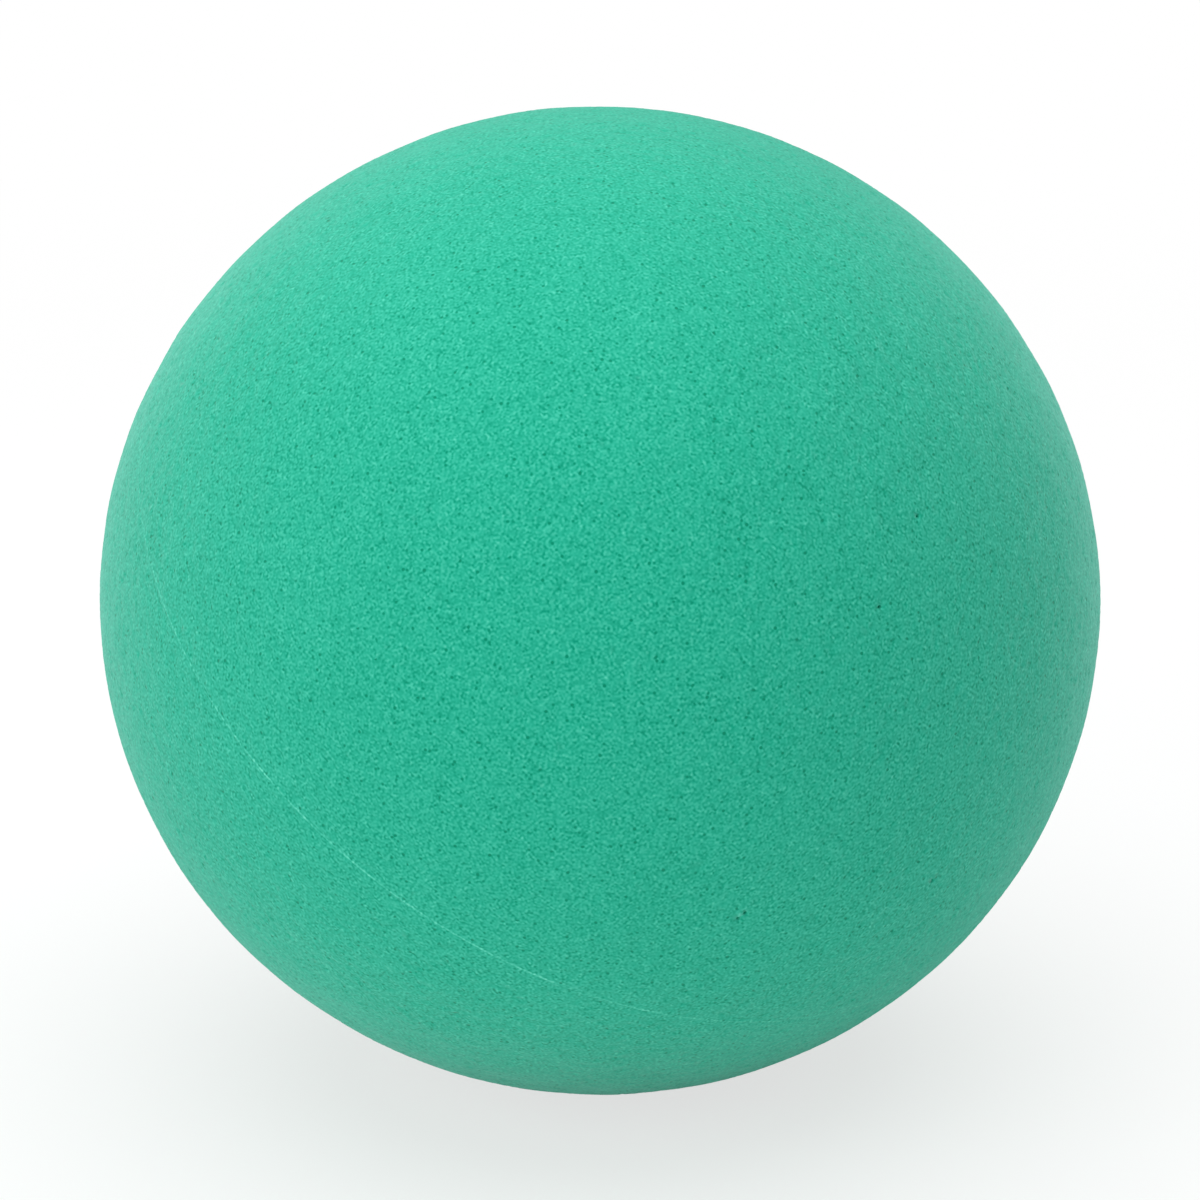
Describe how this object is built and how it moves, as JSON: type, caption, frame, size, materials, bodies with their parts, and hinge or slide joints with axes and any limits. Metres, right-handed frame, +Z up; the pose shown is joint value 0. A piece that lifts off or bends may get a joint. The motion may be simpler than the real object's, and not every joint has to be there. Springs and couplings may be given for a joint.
{
  "type": "foam ball",
  "caption": "Plain round ball of soft moulded foam with a finely porous skin over a cellular core and a faint trimmed parting line, for quiet indoor bouncing and shooting.",
  "frame": {"origin": "centre of the ball", "axes": "+Z up as the ball lies on a floor, -Y towards the viewer of the picture, +X to that viewer's right"},
  "size_m": [0.18, 0.18, 0.18],
  "materials": {
    "skin_foam": "matte",
    "core_foam": "matte",
    "flash_foam": "matte"
  },
  "bodies": {
    "root": {"foam_core": "core_foam", "upper_skin": "skin_foam", "lower_skin": "skin_foam", "parting_flash": "flash_foam"}
  },
  "joints": []
}
